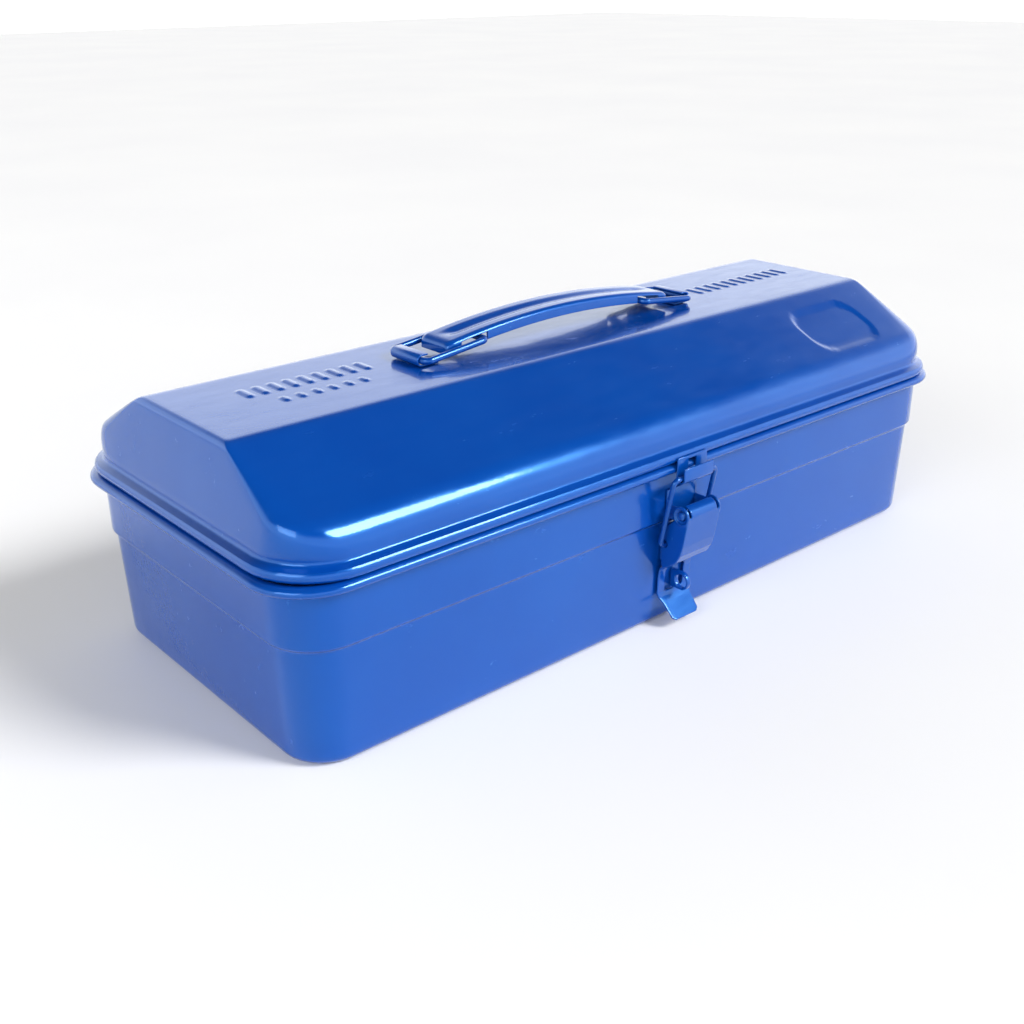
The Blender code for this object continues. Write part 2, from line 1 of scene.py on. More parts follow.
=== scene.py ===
"""Looks of a pressed-steel tool box in gloss blue enamel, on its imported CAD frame.

Lengths are in millimetres until they are multiplied by MM.  +X runs along the box,
-Y is the front with the latch, +Z is up, and the underside stands on z = 0.
"""
import math

import bmesh
import bpy
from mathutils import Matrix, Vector


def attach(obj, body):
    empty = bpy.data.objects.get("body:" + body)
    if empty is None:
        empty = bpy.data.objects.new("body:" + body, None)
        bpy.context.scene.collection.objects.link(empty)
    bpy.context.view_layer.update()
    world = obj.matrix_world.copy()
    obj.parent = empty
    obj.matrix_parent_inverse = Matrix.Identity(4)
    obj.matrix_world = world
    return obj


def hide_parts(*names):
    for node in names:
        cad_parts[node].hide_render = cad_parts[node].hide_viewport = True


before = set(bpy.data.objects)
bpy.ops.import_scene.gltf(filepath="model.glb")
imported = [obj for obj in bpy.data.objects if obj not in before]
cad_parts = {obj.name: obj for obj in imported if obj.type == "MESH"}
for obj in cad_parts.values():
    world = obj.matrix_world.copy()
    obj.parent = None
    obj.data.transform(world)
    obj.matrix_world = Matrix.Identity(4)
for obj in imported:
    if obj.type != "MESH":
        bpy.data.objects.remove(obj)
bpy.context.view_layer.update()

MM = 0.001
SHEET = 0.7
GAP = 0.3

# Body pressing
FOOT_A, FOOT_B, FOOT_R = 179.7, 75.4, 17.5
FOOT_FILLET = 4.0
WALL_A, WALL_B, WALL_R = 181.2, 76.9, 19.0
STEP_LOW, STEP_HIGH, STEP_OUT = 46.4, 48.9, 1.7
SEAM_Z = 73.9
HEM_END, HEM_SIDE, HEM_TALL = 2.35, 2.05, 1.35

# Lid pressing
LID_TOP = 111.5
LID_TOP_A, LID_TOP_B = 177.6, 32.6
LID_WALL_A, LID_WALL_B, LID_WALL_R = 182.5, 79.2, 24.0
LID_WALL_Z = 82.0
SLOPE = math.radians(25.2)
FOLD_R, SHOULDER_R, END_R = 11.0, 14.0, 2.4
TOP_CORNER_R, CORNER_GROWTH = 1.5, 1.15
FLARE_TOP = 80.6
LID_HEM_R, LID_HEM_OUT = 2.5, 4.2
END_BEND_DROPS = (0.25, 0.45, 0.75)          # rings that round the ends of the top
SLOPE_FIRST_DROP, SLOPE_DROP_STEP, SLOPE_RINGS = 1.5, 0.85, 20

# Relief on the lid: plain raised ribs at both ends of the top, and a blank sunk panel
RIB_TALL = 0.55
RIB_ROWS = (                    # first x, last x, count, y, half width, half length
    (-146.0, -93.5, 9, 8.5, 1.7, 5.4),
    (-138.0, -103.0, 6, -6.5, 1.5, 2.9),
    (97.0, 161.0, 11, 3.0, 1.7, 5.6),
)
PANEL_X, PANEL_Y = 130.0, 56.0
PANEL_HALF_X, PANEL_HALF_Y, PANEL_R = 22.5, 12.8, 10.0
PANEL_DEEP = 0.7

# Rear hinges
HINGE_X, HINGE_Y, HINGE_Z = 112.0, 86.7, SEAM_Z
HINGE_HALF = 15.0
HINGE_LID_PLATE = (91.0, 89.0, 87.0, 85.0)
HINGE_BODY_PLATE = (54.0, 64.0, 67.2)
HINGE_PIN_PROUD = 0.8
PIN_R, CURL_R, LEAF = 1.3, 1.6, 0.8

# Draw latch
PIVOT_Y, PIVOT_Z = -88.3, 53.4
LINK_Y, LINK_Z = -80.2, 38.5
BAR_Y, BAR_Z = -86.3, 68.8
LEVER_HALF, LEVER_T = 9.8, 0.8
LEVER_TOP_HALF, LEVER_PIN_R = 7.6, 1.8
LEVER_TOP_R, LEVER_FLANGE_R = 4.1, 4.0
LEVER_FACE = ((-92.3, 52.9), (-91.3, 47.0), (-90.1, 40.0), (-88.8, 35.6), (-86.8, 32.0),
              (-83.8, 29.6))
LEVER_TONGUE = ((-79.8, 27.2), (-78.4, 25.8), (-77.8, 23.0), (-77.5, 14.6))
LEVER_TAB = ((-78.2, 12.6), (-80.0, 10.5), (-85.0, 5.2), (-85.9, 4.3))
LEVER_TAB_HALVES = (9.2, 8.4, 7.8, 6.2)
LEVER_FLANGE = ((-92.1, 52.9), (-91.1, 47.0), (-89.9, 40.1), (-88.6, 35.7), (-86.7, 32.2),
                (-83.7, 29.8), (-79.8, 27.6), (-78.6, 28.6), (-78.4, 42.0), (-81.4, 47.6))
BOSS_R, BOSS_TOP_R, BOSS_PROUD = 4.2, 4.0, 0.3
RECESS_R, RECESS_MOUTH_R, RECESS_DEEP = 3.2, 3.4, 0.5
BASE_FOOT, BASE_CRANK_LOW, BASE_CRANK_TALL, BASE_TOP = 30.0, 45.4, 3.8, 62.0
EAR_ROOT = (49.8, 56.2)
EAR_X, EAR_T, EAR_R = 8.0, 0.7, 2.9
BAIL_X, BAIL_R, BAIL_BEND = 12.4, 1.1, 2.4
KEEPER_HALF, KEEPER_T = 8.6, 0.8
KEEPER_TOP, KEEPER_BEND, KEEPER_LIP = 76.8, 72.0, 73.2
KEEPER_SLOT_HALF, KEEPER_SLOT_LOW, KEEPER_SLOT_HIGH = 2.4, 71.4, 75.4
SLOT_HALF, SLOT_LOW, SLOT_HIGH = 5.6, 14.3, 25.4
STAPLE_Z, STAPLE_R, STAPLE_OUT = 19.2, 4.1, 5.8
STAPLE_HALF_T, EYE_R = 1.1, 3.05

# Handle
GRIP_TOP, GRIP_RISE, GRIP_RISE_AT = 124.3, 5.7, 65.0
GRIP_HALF_X, GRIP_HALF_Y, GRIP_DEEP, GRIP_T = 64.5, 9.7, 4.8, 0.9
NOTCH_IN, NOTCH_OUT, NOTCH_LEFT = 43.8, 57.5, 1.5
RING_X, RING_Z = 77.0, 114.25
RING_LONG, RING_Y, RING_R = 31.0, 11.8, 1.4
RING_TILT = math.radians(6.4)
BRACKET_HALF, BRACKET_T = 9.0, 0.7
GROOVE_DEEP, GROOVE_HALF = 1.1, 4.8          # groove between the grip's two ribs
GROOVE_END, GROOVE_FADE = 61.0, 9.0
GRIP_EDGE_WIDE, GRIP_EDGE_FALL = 2.4, 1.7    # rounding along the grip's long edges
NOSE_START, NOSE_INSET, NOSE_FALL = 60.5, 1.9, 2.3
WIRE_BEND = 2.6

# Tray
TRAY_A, TRAY_B, TRAY_R = 181.2, 76.9, 22.0
TRAY_BASE, TRAY_TOP, TRAY_FILLET = 47.7, 69.0, 1.0
TRAY_ROLL, TRAY_SHEET = 1.1, 0.45
DIVIDER_TOP, DIVIDER_GRIP_TOP, DIVIDER_HALF_T = 64.4, 82.4, 0.5
DIVIDER_SHOULDER, DIVIDER_GRIP_R = 60.0, 8.0
HAND_HOLE_HALF, HAND_HOLE_R, HAND_HOLE_Z = 28.0, 7.5, 69.4


# ---------------------------------------------------------------- meshes

def link(name, data):
    obj = bpy.data.objects.new(name, data)
    bpy.context.scene.collection.objects.link(obj)
    return obj


def from_bmesh(name, build):
    mesh = bpy.data.meshes.new(name)
    build.to_mesh(mesh)
    build.free()
    return link(name, mesh)


def bake(obj):
    """Turn an object's modifiers, or a curve's bevel, into plain mesh."""
    graph = bpy.context.evaluated_depsgraph_get()
    mesh = bpy.data.meshes.new_from_object(obj.evaluated_get(graph))
    name = obj.name
    bpy.data.objects.remove(obj)
    mesh.name = name
    return link(name, mesh)


def loft(name, rings, closed=True, caps=False):
    """A skin through rings of points; caps closes both ends and turns faces outward."""
    build = bmesh.new()
    rows = [[build.verts.new(Vector(point) * MM) for point in ring] for ring in rings]
    count = len(rows[0])
    for low, high in zip(rows, rows[1:]):
        for i in range(count if closed else count - 1):
            j = (i + 1) % count
            build.faces.new((low[i], low[j], high[j], high[i]))
    if caps:
        build.faces.new(list(reversed(rows[0])))
        build.faces.new(rows[-1])
        bmesh.ops.recalc_face_normals(build, faces=build.faces)
    return from_bmesh(name, build)


def plate(name, outline, low, high, axis="x"):
    """A flat plate from an outline of (y, z) points, or of (x, z) points when axis is y."""
    if axis == "x":
        rings = [[(at, u, v) for u, v in outline] for at in (low, high)]
    else:
        rings = [[(u, at, v) for u, v in outline] for at in (low, high)]
    return loft(name, rings, caps=True)


def block(name, low, high):
    outline = [(low[1], low[2]), (high[1], low[2]), (high[1], high[2]), (low[1], high[2])]
    return plate(name, outline, low[0], high[0])


def lathe_x(name, profile, y, z, sides=40):
    """A turned piece on an axis along X, from (x, radius) points."""
    rings = []
    for x, radius in profile:
        turn = [2 * math.pi * k / sides for k in range(sides)]
        rings.append([(x, y + radius * math.cos(t), z + radius * math.sin(t)) for t in turn])
    return loft(name, rings, caps=True)


def arc(centre, radius, start, end, steps):
    angles = [math.radians(start + (end - start) * k / steps) for k in range(steps + 1)]
    return [(centre[0] + radius * math.cos(a), centre[1] + radius * math.sin(a))
            for a in angles]


def thicken(obj, thickness, offset=-1.0):
    modifier = obj.modifiers.new("sheet", "SOLIDIFY")
    modifier.thickness = thickness * MM
    modifier.offset = offset
    modifier.use_even_offset = True
    return bake(obj)


def soften(obj, width, segments=3, angle=38):
    modifier = obj.modifiers.new("soft_edge", "BEVEL")
    modifier.width = width * MM
    modifier.segments = segments
    modifier.limit_method = "ANGLE"
    modifier.angle_limit = math.radians(angle)
    modifier.use_clamp_overlap = True
    return bake(obj)


def combine(obj, others, operation="DIFFERENCE"):
    for other in others:
        modifier = obj.modifiers.new("cut", "BOOLEAN")
        modifier.operation = operation
        modifier.solver = "EXACT"
        modifier.object = other
    obj = bake(obj)
    for other in others:
        bpy.data.objects.remove(other)
    return obj


def melt(obj, voxel, smoothing):
    """Round every corner slightly, as thick enamel does over folded sheet."""
    remesh = obj.modifiers.new("melt", "REMESH")
    remesh.mode = "VOXEL"
    remesh.voxel_size = voxel * MM
    smooth = obj.modifiers.new("smooth", "SMOOTH")
    smooth.factor = 0.5
    smooth.iterations = smoothing
    return bake(obj)


def wire(name, points, radius, cyclic=False):
    curve = bpy.data.curves.new(name, "CURVE")
    curve.dimensions = "3D"
    curve.bevel_depth = radius * MM
    curve.bevel_resolution = 7
    curve.use_fill_caps = not cyclic
    spline = curve.splines.new("POLY")
    spline.points.add(len(points) - 1)
    for target, point in zip(spline.points, points):
        target.co = (*(Vector(point) * MM), 1.0)
    spline.use_cyclic_u = cyclic
    spline.use_smooth = True
    return bake(link(name, curve))


def rounded_path(corners, radius, steps=12, cyclic=False):
    points = []
    count = len(corners)
    for i, corner in enumerate(corners):
        here = Vector(corner)
        if not cyclic and i in (0, count - 1):
            points.append(here)
            continue
        before = (Vector(corners[i - 1]) - here).normalized()
        after = (Vector(corners[(i + 1) % count]) - here).normalized()
        half = before.angle(after) / 2
        reach = radius / math.tan(half)
        centre = here + (before + after).normalized() * radius / math.sin(half)
        start, end = here + before * reach, here + after * reach
        for k in range(steps + 1):
            mix = start.lerp(end, k / steps) - centre
            points.append(centre + mix.normalized() * radius)
    return points


def strip(name, path, half_widths, thickness, centre_x=0.0, offset=-1.0):
    """Folded sheet: a path of (y, z) points swept across X, then thickened."""
    if not isinstance(half_widths, (list, tuple)):
        half_widths = [half_widths] * len(path)
    rings = [[(centre_x - half, y, z), (centre_x + half, y, z)]
             for (y, z), half in zip(path, half_widths)]
    return thicken(loft(name, rings, closed=False), thickness, offset)


# ---------------------------------------------------------------- pressings

def spread(stops):
    """Positions between stops; each stop is (position, spacing up to the next one)."""
    values = []
    for (start, step), (end, _) in zip(stops, stops[1:]):
        count = max(1, round((end - start) / step))
        values += [start + (end - start) * k / count for k in range(count)]
    return values + [stops[-1][0]]


def rounded_ring(section, across, along, corner_steps):
    """Rounded rectangle, anticlockwise from its +X side, with shared side divisions."""
    a, b, r, z = section
    points = [(a, t * (b - r), z) for t in along]
    quarters = ((1, 1, [(t * (a - r), b, z) for t in reversed(across)]),
                (-1, 1, [(-a, t * (b - r), z) for t in reversed(along)]),
                (-1, -1, [(t * (a - r), -b, z) for t in across]),
                (1, -1, []))
    for quarter, (sx, sy, side) in enumerate(quarters):
        for step in range(1, corner_steps):
            angle = math.pi / 2 * (quarter + step / corner_steps)
            points.append((sx * (a - r) + r * math.cos(angle),
                           sy * (b - r) + r * math.sin(angle), z))
        points += side
    return points


def pressing(name, sections, across, along, corner_steps, upward, place=None):
    """A pan or a lid: a flat patch inside the first section, and walls through the rest."""
    place = place or (lambda x, y, z: (x, y, z))
    build = bmesh.new()

    def vertex(point):
        return build.verts.new(Vector(place(*point)) * MM)

    def face(*corners):
        build.faces.new(corners if upward else tuple(reversed(corners)))

    rows = []
    for section in sections:
        rows.append([vertex(p) for p in rounded_ring(section, across, along, corner_steps)])
    count = len(rows[0])
    for upper, lower in zip(rows, rows[1:]):
        for i in range(count):
            j = (i + 1) % count
            face(upper[i], lower[i], lower[j], upper[j])

    a, b, r, z = sections[0]
    grid = [[vertex((u * (a - r), v * (b - r), z)) for v in along] for u in across]
    nx, ny, corner = len(across), len(along), corner_steps - 1
    for i in range(nx - 1):
        for j in range(ny - 1):
            face(grid[i][j], grid[i + 1][j], grid[i + 1][j + 1], grid[i][j + 1])
    edges = ([grid[-1][j] for j in range(ny)], [grid[i][-1] for i in reversed(range(nx))],
             [grid[0][j] for j in reversed(range(ny))], [grid[i][0] for i in range(nx)])
    top, at = rows[0], 0
    for edge in edges:
        for k in range(len(edge) - 1):
            face(edge[k], top[at + k], top[at + k + 1], edge[k + 1])
        at += len(edge) - 1
        for k in range(corner + 1):
            face(edge[-1], top[(at + k) % count], top[(at + k + 1) % count])
        at += corner + 1
    return from_bmesh(name, build)


def body_section(z):
    rise = min(z, STEP_LOW) / STEP_LOW
    a = FOOT_A + (WALL_A - FOOT_A) * rise
    b = FOOT_B + (WALL_B - FOOT_B) * rise
    r = FOOT_R + (WALL_R - FOOT_R) * rise
    if z > STEP_LOW:
        blend = min((z - STEP_LOW) / (STEP_HIGH - STEP_LOW), 1.0)
        out = STEP_OUT * (3 - 2 * blend) * blend ** 2
        return a + out, b + out, r + out
    return a, b, r


def lid_section(z):
    drop = LID_TOP - z
    fold_drop = FOLD_R * (1 - math.cos(SLOPE))
    fold_start = LID_TOP_B - FOLD_R * math.tan(SLOPE / 2)
    if drop < fold_drop:
        b = fold_start + math.sqrt(max(FOLD_R ** 2 - (FOLD_R - drop) ** 2, 0.0))
    else:
        b = LID_TOP_B + drop / math.tan(SLOPE)
    corner_z = LID_TOP - (LID_WALL_B - LID_TOP_B) * math.tan(SLOPE)
    reach = SHOULDER_R * math.tan((math.pi / 2 - SLOPE) / 2)
    arc_low, arc_high = corner_z - reach, corner_z + reach * math.sin(SLOPE)
    if arc_low < z < arc_high:
        b = LID_WALL_B - SHOULDER_R + math.sqrt(SHOULDER_R ** 2 - (z - arc_low) ** 2)
    elif z <= arc_low:
        b = LID_WALL_B
    lean = (LID_WALL_A - LID_TOP_A) / (LID_TOP - LID_WALL_Z)
    a = LID_TOP_A + lean * min(drop, LID_TOP - LID_WALL_Z)
    if drop < END_R:
        a += math.sqrt(END_R ** 2 - (END_R - drop) ** 2) - END_R
    grow = min(drop / (LID_TOP - arc_low), 1.0)
    r = TOP_CORNER_R + (LID_WALL_R - TOP_CORNER_R) * grow ** CORNER_GROWTH
    return a, b, r


def rounded_box(u, v, half_u, half_v, radius):
    """Distance from a rounded rectangle's edge, negative inside it."""
    du, dv = abs(u) - half_u + radius, abs(v) - half_v + radius
    outside = math.hypot(max(du, 0.0), max(dv, 0.0))
    return outside + min(max(du, dv), 0.0) - radius


def ease(value):
    value = min(max(value, 0.0), 1.0)
    return value * value * (3 - 2 * value)


def lid_relief(x, y, z):
    if z > LID_TOP - 0.001:
        rise = 0.0
        for first, last, count, row_y, half_u, half_v in RIB_ROWS:
            if abs(y - row_y) > half_v + 1 or not first - 3 < x < last + 3:
                continue
            pitch = (last - first) / (count - 1)
            near = first + pitch * round((x - first) / pitch)
            inside = -rounded_box(x - near, y - row_y, half_u, half_v, half_u)
            rise = max(rise, ease((inside + 0.4) / 1.5))
        return x, y, z + RIB_TALL * rise
    if y < -LID_TOP_B:
        inside = -rounded_box(x - PANEL_X, -y - PANEL_Y, PANEL_HALF_X, PANEL_HALF_Y, PANEL_R)
        sunk = PANEL_DEEP * ease((inside + 0.6) / 1.8)
        return x, y + sunk * math.sin(SLOPE), z - sunk * math.cos(SLOPE)
    return x, y, z


def make_body():
    sections = []
    for y, z in arc((0.0, FOOT_FILLET), FOOT_FILLET, -90, 0, 9):
        a, b, r = body_section(z)
        inset = FOOT_FILLET - y
        sections.append((a - inset, b - inset, r - inset / 2, z))
    heights = [10, 17, 24, 31, 38, 43, 45.6]
    heights += [STEP_LOW + (STEP_HIGH - STEP_LOW) * k / 8 for k in range(9)]
    heights += [49.6, 52, 57, 62, 66]
    sections += [(*body_section(z), z) for z in heights]
    hem_z = SEAM_Z - GAP / 2 - SHEET - HEM_TALL
    a, b, r = body_section(hem_z)
    for u, v in arc((0.0, 0.0), 1.0, 180, -60, 22):
        end, side = HEM_END * (1 + u), HEM_SIDE * (1 + u)
        sections.append((a + end, b + side, r + side, hem_z + HEM_TALL * v))
    across = spread([(-1, 0.07), (1, 0)])
    along = spread([(-1, 0.14), (1, 0)])
    return thicken(pressing("body_skin", sections, across, along, 12, False), SHEET)


def make_lid():
    bend = math.pi / 2 - SLOPE
    arc_drop = (LID_WALL_B - LID_TOP_B) * math.tan(SLOPE) + SHOULDER_R * math.tan(bend / 2)
    flare_drop = LID_TOP - FLARE_TOP
    drops = [FOLD_R * (1 - math.cos(SLOPE * k / 5)) for k in range(6)]
    drops += END_BEND_DROPS
    drops += [SLOPE_FIRST_DROP + SLOPE_DROP_STEP * k for k in range(SLOPE_RINGS)]
    drops += [arc_drop - SHOULDER_R * math.sin(bend * k / 11) for k in range(12)]
    drops += [(arc_drop + flare_drop) / 2, flare_drop]
    drops = sorted({round(drop, 4) for drop in drops})
    sections = [(*lid_section(LID_TOP - d), LID_TOP - d) for d in drops]
    hem_z = SEAM_Z + GAP / 2 + LID_HEM_R
    a, b, r = lid_section(hem_z)
    flare = LID_HEM_OUT - LID_HEM_R
    for y, z in arc((flare, FLARE_TOP), flare, 180, 258, 6)[1:]:
        sections.append((a + y, b + y, r + y, z))
    for y, z in arc((flare, hem_z), LID_HEM_R, 62, -170, 16)[1:]:
        sections.append((a + y, b + y, r + y, z))
    reach = LID_TOP_A - END_R - TOP_CORNER_R
    stops = [(-reach, 6), (-151, 0.8), (-88, 7), (92, 0.8), (168, 5), (reach, 0)]
    across = [value / reach for value in spread(stops)]
    reach = lid_section(LID_TOP)[1] - TOP_CORNER_R
    stops = [(-reach, 4), (-10.4, 0.9), (15.2, 4), (reach, 0)]
    along = [value / reach for value in spread(stops)]
    skin = pressing("lid_skin", sections, across, along, 9, True, lid_relief)
    return thicken(skin, SHEET)


def make_tray():
    sections = []
    for y, z in arc((0.0, TRAY_FILLET), TRAY_FILLET, -90, 0, 6):
        inset = TRAY_FILLET - y
        sections.append((TRAY_A - inset, TRAY_B - inset, TRAY_R - inset / 2, TRAY_BASE + z))
    for z in (TRAY_BASE + 8, TRAY_TOP - TRAY_ROLL):
        sections.append((TRAY_A, TRAY_B, TRAY_R, z))
    for y, z in arc((-TRAY_ROLL, TRAY_TOP - TRAY_ROLL), TRAY_ROLL, 0, 250, 14)[1:]:
        sections.append((TRAY_A + y, TRAY_B + y, TRAY_R + y, z))
    across = spread([(-1, 0.1), (1, 0)])
    along = spread([(-1, 0.2), (1, 0)])
    return thicken(pressing("tray_skin", sections, across, along, 12, False), TRAY_SHEET)


def make_divider():
    end_x = TRAY_A - SHEET - GAP - 0.9
    base = TRAY_BASE + SHEET + GAP
    centre = (DIVIDER_SHOULDER - 18.0, DIVIDER_GRIP_TOP - DIVIDER_GRIP_R)
    grip = [(-x, z) for x, z in arc(centre, DIVIDER_GRIP_R, 0, 90, 12)]
    outline = [(-end_x, base), (-end_x, DIVIDER_TOP), (-DIVIDER_SHOULDER, DIVIDER_TOP)] + grip
    outline += [(-x, z) for x, z in reversed(outline)]
    divider = plate("tray_divider_skin", outline, -DIVIDER_HALF_T, DIVIDER_HALF_T, "y")
    hole = arc((HAND_HOLE_HALF, HAND_HOLE_Z), HAND_HOLE_R, -90, 90, 20)
    hole += [(-x, z) for x, z in reversed(hole)]
    divider = combine(divider, [plate("hand_hole", hole, -3, 3, "y")])
    return soften(divider, 0.28)


# ---------------------------------------------------------------- hinges and latch

def make_hinge_leaf(name, centre_x, upper):
    outer = CURL_R + LEAF
    inner_y = HINGE_Y - outer
    sign = 1 if upper else -1
    if upper:
        leaf = [(lid_section(z)[1] + GAP, z) for z in HINGE_LID_PLATE]
        leaf.append((inner_y, FLARE_TOP))
    else:
        wall_y = body_section(STEP_HIGH)[1] + GAP
        foot_z, bend_z, crank_z = HINGE_BODY_PLATE
        leaf = [(wall_y, foot_z), (wall_y, bend_z), (inner_y, crank_z)]
    path = leaf + arc((HINGE_Y, HINGE_Z), outer, 180, 180 + sign * 290, 30)
    obj = strip(name, path, HINGE_HALF, LEAF, centre_x, 1.0 if upper else -1.0)
    third = HINGE_HALF / 3
    spans = [(-third - GAP, third + GAP)]
    if upper:
        spans = [(-HINGE_HALF - 1, -third), (third, HINGE_HALF + 1)]
    cutters = []
    for start, end in spans:
        low = (centre_x + start, inner_y - 0.5, HINGE_Z - outer - 1.0)
        high = (centre_x + end, HINGE_Y + outer + 1.0, HINGE_Z + outer + 1.0)
        cutters.append(block("knuckle_gap", low, high))
    return soften(combine(obj, cutters), 0.22, 2)


def domed_pin(name, radius, half, y, z, centre_x=0.0, dome=0.6):
    profile = []
    for sign in (-1, 1):
        end = [(centre_x + sign * (half - dome + dome * math.sin(t)), radius * math.cos(t))
               for t in (0.0, 0.3, 0.6, 0.9, 1.2, 1.45)]
        profile += list(reversed(end)) if sign < 0 else end
    return lathe_x(name, profile, y, z)


def make_latch_base():
    wall_low, wall_high = -body_section(40.0)[1] - GAP, -body_section(60.0)[1] - GAP
    path = [(wall_low, BASE_FOOT)]
    for k in range(7):
        y = wall_low + (wall_high - wall_low) * ease(k / 6)
        path.append((y, BASE_CRANK_LOW + BASE_CRANK_TALL * k / 6))
    path.append((wall_high, BASE_TOP))
    base = strip("latch_base_skin", path, EAR_X + EAR_T, LEVER_T, offset=1.0)
    ears = []
    for sign in (-1, 1):
        tip = arc((PIVOT_Y, PIVOT_Z), EAR_R, 90, 270, 24)
        root_y = wall_high - LEVER_T / 2
        outline = [(root_y, z) for z in EAR_ROOT] + tip
        ears.append(plate("ear", outline, sign * EAR_X, sign * (EAR_X + EAR_T)))
    base = combine(base, ears, "UNION")
    hole = lathe_x("ear_holes", [(-20, LEVER_PIN_R + 0.2), (20, LEVER_PIN_R + 0.2)],
                   PIVOT_Y, PIVOT_Z)
    return soften(combine(base, [hole]), 0.15, 2)


def make_staple():
    wall = -body_section(STAPLE_Z)[1] - GAP
    tip_y = wall - STAPLE_OUT
    tip = arc((tip_y, STAPLE_Z), STAPLE_R, 90, 270, 30)
    outline = [(wall, STAPLE_Z - STAPLE_R), (wall, STAPLE_Z + STAPLE_R)] + tip
    staple = plate("staple_skin", outline, -STAPLE_HALF_T, STAPLE_HALF_T)
    eye = lathe_x("eye", [(-5, EYE_R), (5, EYE_R)], tip_y, STAPLE_Z)
    return soften(combine(staple, [eye]), 0.4)


def make_lever():
    top_edge = arc((PIVOT_Y, PIVOT_Z), LEVER_TOP_R, 90, 180, 12)
    path = [*top_edge, *LEVER_FACE, *LEVER_TONGUE, *LEVER_TAB]
    halves = [LEVER_TOP_HALF] * len(top_edge)
    halves += [LEVER_HALF] * (len(LEVER_FACE) + len(LEVER_TONGUE))
    halves += LEVER_TAB_HALVES
    lever = strip("latch_lever_skin", path, halves, LEVER_T, offset=1.0)
    flange = [*LEVER_FLANGE, *arc((PIVOT_Y, PIVOT_Z), LEVER_FLANGE_R, -40, 170, 24)]
    extras = []
    for sign in (-1, 1):
        inner, outer = sign * (LEVER_HALF - LEVER_T), sign * LEVER_HALF
        extras.append(plate("flange", flange, inner, outer))
        boss = [(inner, BOSS_R), (outer + sign * BOSS_PROUD, BOSS_TOP_R)]
        extras.append(lathe_x("boss", boss, PIVOT_Y, PIVOT_Z))
    lever = combine(lever, extras, "UNION")
    cuts = []
    for sign in (-1, 1):
        recess = [(sign * (LEVER_HALF - RECESS_DEEP), RECESS_R), (sign * 12, RECESS_MOUTH_R)]
        cuts.append(lathe_x("boss_recess", recess, PIVOT_Y, PIVOT_Z))
    for radius, y, z in ((BAIL_R + 0.35, LINK_Y, LINK_Z), (LEVER_PIN_R + 0.3, PIVOT_Y, PIVOT_Z)):
        cuts.append(lathe_x("hole", [(-20, radius), (20, radius)], y, z))
    low, high = SLOT_LOW, SLOT_HIGH
    slot = []
    for x, z, start in ((1, 1, 0), (-1, 1, 90), (-1, -1, 180), (1, -1, 270)):
        centre = (x * (SLOT_HALF - 1.5), (high - 1.5) if z > 0 else (low + 1.5))
        slot += arc(centre, 1.5, start, start + 90, 6)
    cuts.append(plate("tongue_slot", slot, -80.6, -74.0, "y"))
    return melt(combine(lever, cuts), 0.26, 3)


def make_bail():
    route = [(LEVER_HALF - 2.0, LINK_Y, LINK_Z), (BAIL_X, LINK_Y, LINK_Z),
             (BAIL_X, BAR_Y, BAR_Z)]
    route += [(-x, y, z) for x, y, z in reversed(route)]
    return wire("bail_wire", rounded_path(route, BAIL_BEND), BAIL_R)


def make_keeper():
    inner_y = -(LID_WALL_B + LID_HEM_OUT + GAP)
    mid_y = inner_y - KEEPER_T
    lip_y = BAR_Y - BAIL_R - 0.2 - KEEPER_T
    valley = (mid_y + lip_y + KEEPER_T) / 2
    inner_r = abs(mid_y - (lip_y + KEEPER_T)) / 2
    foot = arc((valley, BAR_Z - 0.1), inner_r + KEEPER_T, 0, -180, 24)
    path = [(inner_y, KEEPER_TOP), (inner_y, KEEPER_BEND)] + foot + [(lip_y, KEEPER_LIP)]
    keeper = strip("keeper_skin", path, KEEPER_HALF, KEEPER_T, offset=-1.0)
    slot = block("keeper_slot", (-KEEPER_SLOT_HALF, mid_y - 0.6, KEEPER_SLOT_LOW),
                 (KEEPER_SLOT_HALF, inner_y + 0.6, KEEPER_SLOT_HIGH))
    return soften(combine(keeper, [slot]), 0.25)


# ---------------------------------------------------------------- handle

def grip_top(x):
    return GRIP_TOP - GRIP_RISE * (x / GRIP_RISE_AT) ** 2


def grip_ring(x, at, inset, fall, bottom):
    """Section of the grip: two lengthways ribs with a groove between them."""
    half = GRIP_HALF_Y - inset
    groove = GROOVE_DEEP * ease((GROOVE_END - abs(at)) / GROOVE_FADE)
    points = [(x, half, bottom)]
    steps = 36
    for k in range(steps + 1):
        y = half * math.cos(math.pi * k / steps)
        dip = 0.0
        if abs(y) < GROOVE_HALF:
            dip = groove * 0.5 * (1 + math.cos(math.pi * y / GROOVE_HALF))
        edge = (abs(y) - half + GRIP_EDGE_WIDE) / GRIP_EDGE_WIDE
        if edge > 0:
            dip += GRIP_EDGE_FALL * (1 - math.sqrt(max(1 - edge * edge, 0.0)))
        points.append((x, y, grip_top(at) - fall - dip))
    points.append((x, -half, bottom))
    return points


